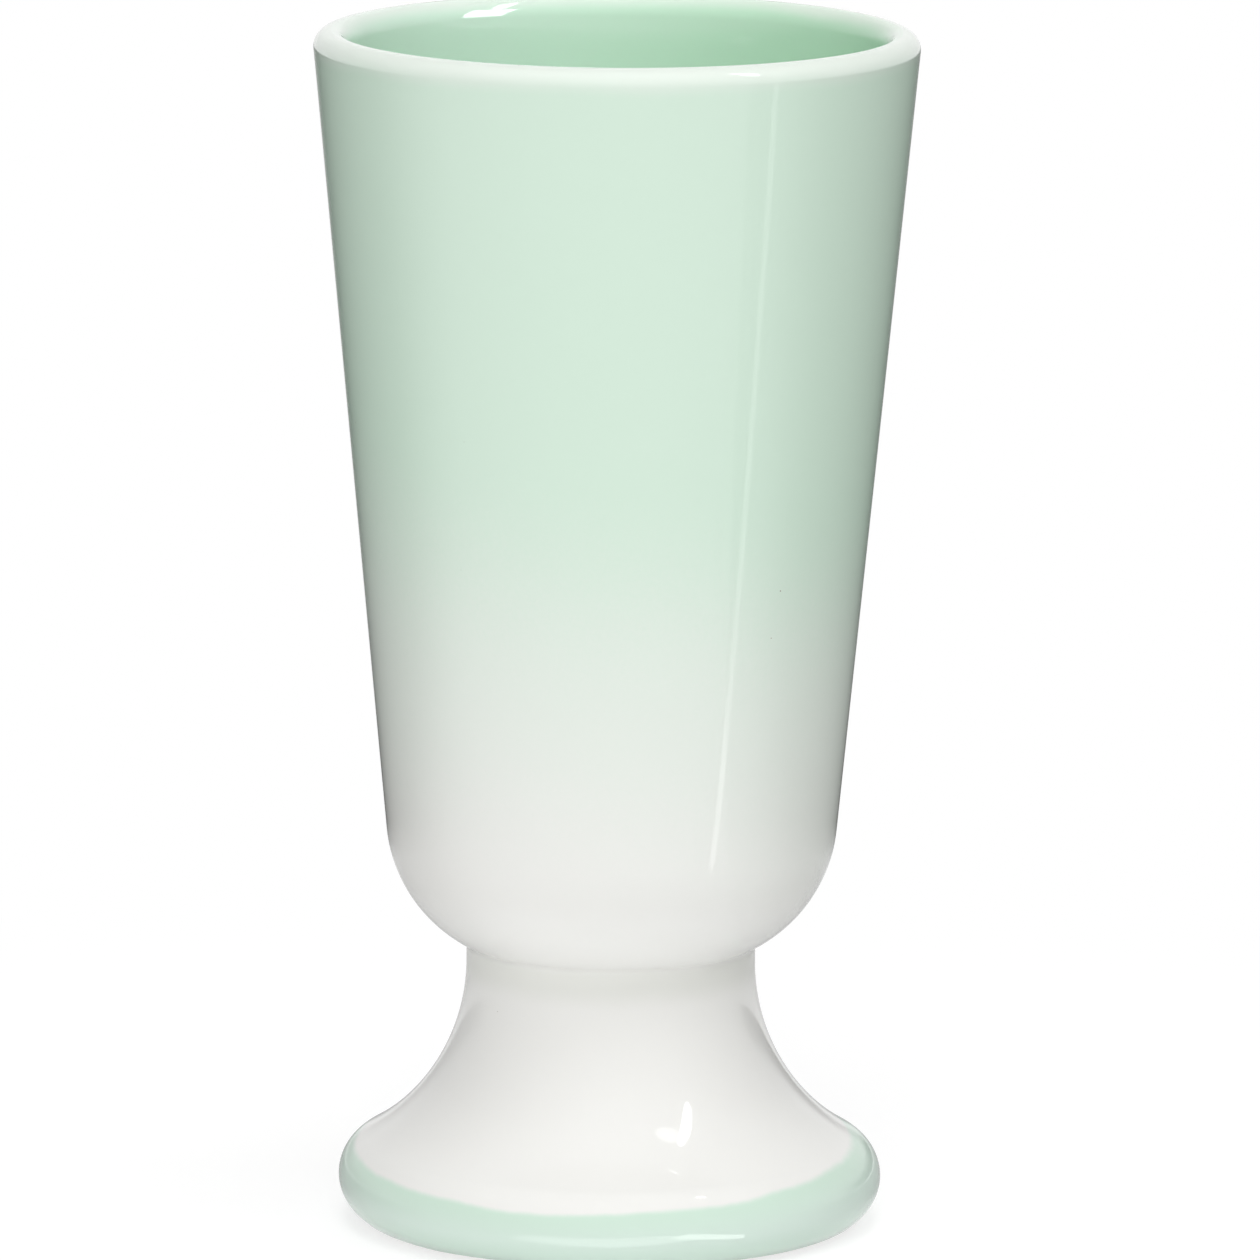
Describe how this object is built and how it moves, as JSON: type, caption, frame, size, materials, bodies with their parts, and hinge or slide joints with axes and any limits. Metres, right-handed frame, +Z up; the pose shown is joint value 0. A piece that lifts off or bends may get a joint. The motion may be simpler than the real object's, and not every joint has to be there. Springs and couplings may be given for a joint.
{
  "type": "mazagran cup",
  "caption": "Tall tapered mazagran cup: a round-bottomed bowl luted onto a hollow flared foot, with mint glaze that fades to white and a mint band round the foot.",
  "frame": {"origin": "centre of the standing ring, on the surface that the cup stands on", "axes": "+Z up along the cup's axis; the cup is the same all round, so +X and +Y are free"},
  "size_m": [0.075, 0.075, 0.15],
  "materials": {
    "clay": "bare fired porcelain, smooth and matt",
    "slip": "fired slip, matt",
    "ombre_glaze": "glossy mint glaze that fades to white below the middle",
    "mint_glaze": "glossy mint glaze",
    "white_glaze": "glossy clear glaze over white porcelain"
  },
  "bodies": {
    "root": {"bowl": "clay", "foot": "clay", "slip_joint": "slip", "outer_glaze": "ombre_glaze", "liner_glaze": "mint_glaze", "foot_glaze": "white_glaze", "foot_band": "mint_glaze", "hollow_glaze": "white_glaze"}
  },
  "joints": []
}
